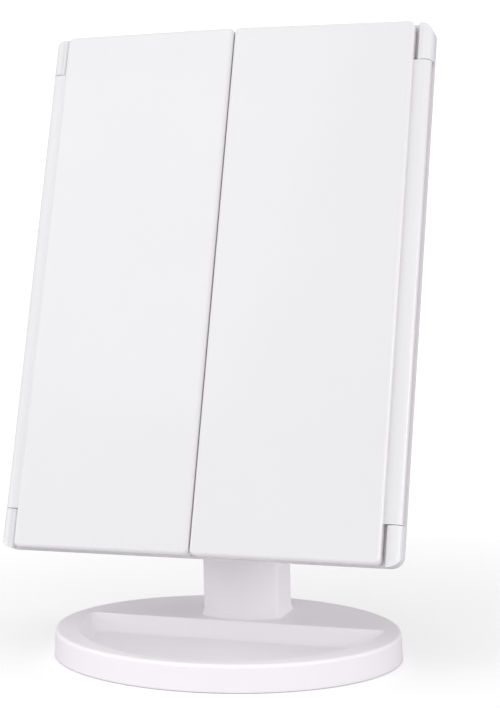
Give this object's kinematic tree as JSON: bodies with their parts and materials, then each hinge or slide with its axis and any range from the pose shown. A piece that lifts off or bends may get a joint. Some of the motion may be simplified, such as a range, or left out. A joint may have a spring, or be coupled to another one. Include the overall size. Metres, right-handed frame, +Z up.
{
  "type": "lighted vanity mirror",
  "caption": "Tri-fold lighted vanity mirror: two hinged wings fold over a tilting main mirror with edge lights, on a battery column and an oval base with a trinket tray.",
  "frame": {"origin": "on the table, under the middle of the oval base", "axes": "+X to the viewer's right, +Y away from the viewer, +Z up; rest pose is wings folded shut, head tilted back"},
  "size_m": [0.1824, 0.1248, 0.2829],
  "materials": {
    "shell_white": "glossy white ABS",
    "base_white": "glossy white ABS, very slightly cool",
    "plate_white": "satin moulded plate",
    "feet_rubber": "soft matt rubber",
    "ballast_steel": "plain steel plate",
    "screw_steel": "zinc plated",
    "axle_steel": "turned steel",
    "washer_steel": "spring steel",
    "washer_plastic": "natural acetal",
    "mirror_glass": "silvered glass",
    "diffuser": "frosted translucent acrylic",
    "inner_white": "satin white moulding",
    "foam_tape": "foam tape",
    "led_board": "white solder mask",
    "led": "LED with phosphor",
    "green_board": "green solder mask",
    "chip_black": "moulded package",
    "copper": "bare copper and brass",
    "contact_metal": "nickel plated",
    "spring_metal": "nickel plated wire",
    "cell_wrap": "printed sleeve, plain dark grey",
    "tray_black": "moulded holder",
    "socket_metal": "drawn metal shell",
    "switch_black": "fine textured",
    "cable_white": "soft white jacket",
    "wire_red": "thin insulated wire"
  },
  "bodies": {
    "stand": {"base_tray": "base_white", "base_plate": "plate_white", "rubber_feet": "feet_rubber", "ballast_plate": "ballast_steel", "base_screws": "screw_steel", "column_shell": "base_white", "column_screws": "screw_steel", "battery_tray": "tray_black", "battery_cells": "cell_wrap", "battery_contacts": "contact_metal", "battery_springs": "spring_metal", "power_board": "green_board", "power_socket": "socket_metal", "power_switch_body": "switch_black", "column_cable": "cable_white"},
    "battery_door": {"battery_door": "base_white"},
    "power_switch": {"power_switch_knob": "switch_black"},
    "mirror_head": {"hinge_bracket": "shell_white", "bracket_screws": "screw_steel", "hinge_axle": "axle_steel", "friction_washers": "washer_plastic", "spring_washers": "washer_steel", "axle_nuts": "screw_steel", "hinge_caps": "shell_white", "head_cable": "cable_white", "mirror_frame": "shell_white", "back_cover": "shell_white", "back_cover_screws": "screw_steel", "main_mirror": "mirror_glass", "light_diffuser": "diffuser", "mirror_tape": "foam_tape", "led_boards": "led_board", "leds": "led", "control_board": "green_board", "control_chips": "chip_black", "touch_electrode": "copper", "touch_spring": "spring_metal", "led_wires": "wire_red", "right_hinge_pins": "axle_steel", "left_hinge_pins": "axle_steel"},
    "right_wing": {"right_wing_cover": "shell_white", "right_wing_frame": "inner_white", "right_wing_mirror": "mirror_glass", "right_wing_tape": "foam_tape", "right_hinge_bushes": "washer_plastic"},
    "left_wing": {"left_wing_cover": "shell_white", "left_wing_frame": "inner_white", "left_wing_mirror_2x": "mirror_glass", "left_wing_mirror_3x": "mirror_glass", "left_wing_tape": "foam_tape", "left_hinge_bushes": "washer_plastic"}
  },
  "joints": [
    {"name": "mirror_tilt", "type": "hinge", "parent": "stand", "child": "mirror_head", "pos_m": [0, 0.0295, 0.166], "axis": [-1, 0, 0], "range_deg": [-20, 69]},
    {"name": "right_wing_swing", "type": "hinge", "parent": "mirror_head", "child": "right_wing", "pos_m": [0.0876, -0.00216, 0.16631], "axis": [0, 0.3145, 0.9493], "range_deg": [0, 180]},
    {"name": "left_wing_swing", "type": "hinge", "parent": "mirror_head", "child": "left_wing", "pos_m": [-0.0876, -0.00216, 0.16631], "axis": [0, -0.3145, -0.9493], "range_deg": [0, 180]},
    {"name": "battery_door_lift", "type": "slide", "parent": "stand", "child": "battery_door", "axis": [0, 1, 0], "range_m": [0, 0.03]},
    {"name": "power_switch_slide", "type": "slide", "parent": "stand", "child": "power_switch", "axis": [1, 0, 0], "range_m": [0, 0.0025]}
  ]
}
